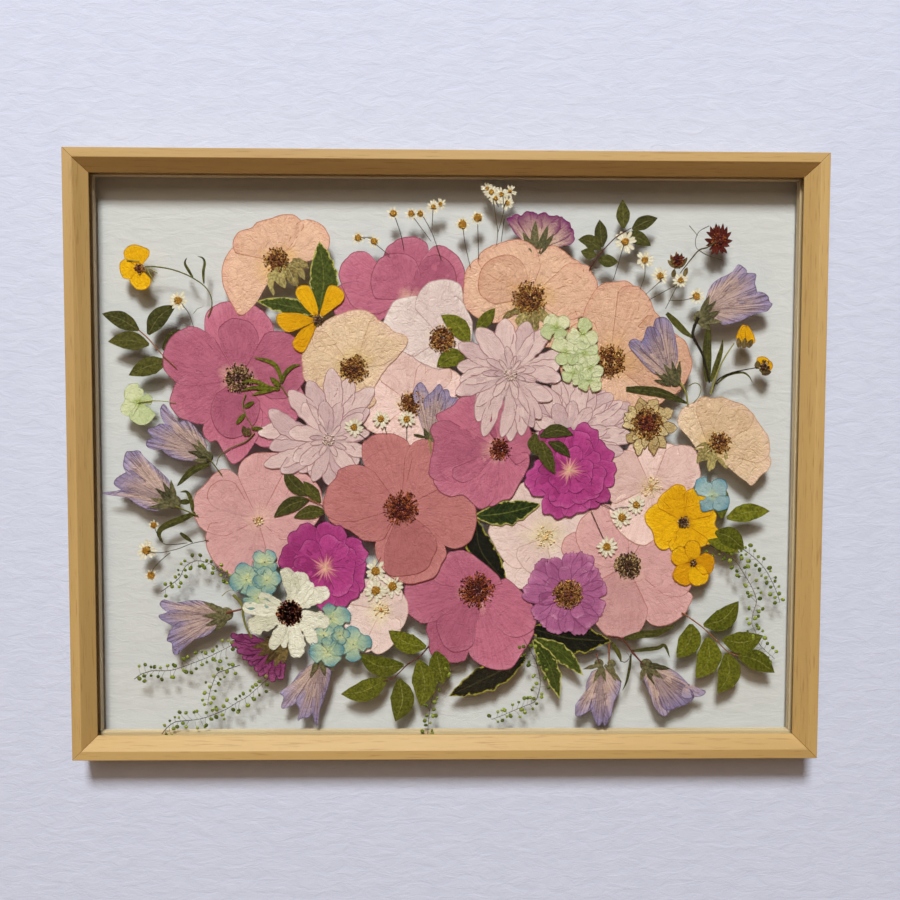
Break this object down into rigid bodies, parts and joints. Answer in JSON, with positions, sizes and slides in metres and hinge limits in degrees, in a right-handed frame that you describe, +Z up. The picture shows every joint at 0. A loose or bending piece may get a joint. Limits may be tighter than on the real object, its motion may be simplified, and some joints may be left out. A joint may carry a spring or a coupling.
{
  "type": "pressed flower frame",
  "caption": "Wooden picture frame with a front and a rear glass pane, holding a dense arrangement of pressed flowers, leaves and stems between them.",
  "frame": {"origin": "the notch of the toothed hanger that takes the wall nail, on the plane of the frame's back", "axes": "+X to the viewer's right, +Z up, -Y out of the wall towards the viewer"},
  "size_m": [0.5254, 0.0249, 0.4237],
  "materials": {
    "frame_wood": "clear-sealed light wood, satin",
    "strip_wood": "raw wood",
    "clear_glass": "clear picture glass",
    "hanger_brass": "brass-plated, satin",
    "petal_peach": "dried petal, matte, translucent",
    "petal_cream": "dried petal, matte, translucent",
    "petal_white": "dried petal, matte, translucent",
    "petal_pink": "dried petal, matte, translucent",
    "petal_mauve": "dried petal, matte, translucent",
    "petal_lilac": "dried petal, matte, translucent",
    "petal_magenta": "dried petal, matte, translucent",
    "petal_violet": "dried petal, matte, translucent",
    "petal_yellow": "dried petal, matte",
    "petal_red": "dried petal, matte",
    "petal_green": "dried floret, matte, translucent",
    "petal_teal": "dried floret, matte, translucent",
    "leaf_olive": "dried leaf, matte, slightly waxy",
    "stamen_brown": "dried stamens and flower heads, matte"
  },
  "bodies": {
    "root": {"rail_top": "frame_wood", "rail_left": "frame_wood", "rail_bottom": "frame_wood", "rail_right": "frame_wood", "glass_rear": "clear_glass", "glass_front": "clear_glass", "strip_top": "strip_wood", "strip_bottom": "strip_wood", "strip_left": "strip_wood", "strip_right": "strip_wood", "hanger": "hanger_brass", "mauve_top": "petal_mauve", "peach_large": "petal_peach", "white_lavender": "petal_white", "cream_rose": "petal_cream", "pink_cream": "petal_cream", "peach_side": "petal_peach", "orange_peach": "petal_peach", "peach_cream": "petal_cream", "bare_head": "stamen_brown", "pale_pink_left": "petal_pink", "white_pink": "petal_cream", "pale_pink_right": "petal_pink", "pink_rose_right": "petal_pink", "pale_petals": "petal_cream", "mauve_left": "petal_mauve", "mauve_middle": "petal_mauve", "dusty_rose": "petal_pink", "mauve_bottom": "petal_mauve", "lilac_left": "petal_lilac", "lilac_middle": "petal_lilac", "lilac_right": "petal_lilac", "magenta_right": "petal_magenta", "magenta_left": "petal_magenta", "purple_daisy": "petal_magenta", "white_daisy": "petal_white", "primrose": "petal_yellow", "four_petal_yellow": "petal_yellow", "buttercup": "petal_yellow", "bell_upper_right": "petal_violet", "bell_right": "petal_violet", "bell_middle": "petal_violet", "bell_left_upper": "petal_violet", "bell_left_lower": "petal_violet", "bell_bottom_left": "petal_violet", "bell_bottom": "petal_violet", "bell_bottom_middle": "petal_violet", "bell_bottom_right": "petal_violet", "dianthus_top": "petal_magenta", "red_aster": "petal_red", "purple_aster": "petal_magenta", "hydrangea_green_left": "petal_green", "hydrangea_green_middle": "petal_green", "hydrangea_teal_left": "petal_teal", "hydrangea_teal_bottom": "petal_teal", "hydrangea_blue_right": "petal_teal", "leaf_spray_left": "leaf_olive", "leaf_spray_top_right": "leaf_olive", "leaf_spray_bottom": "leaf_olive", "leaf_spray_bottom_right": "leaf_olive"}
  },
  "joints": []
}
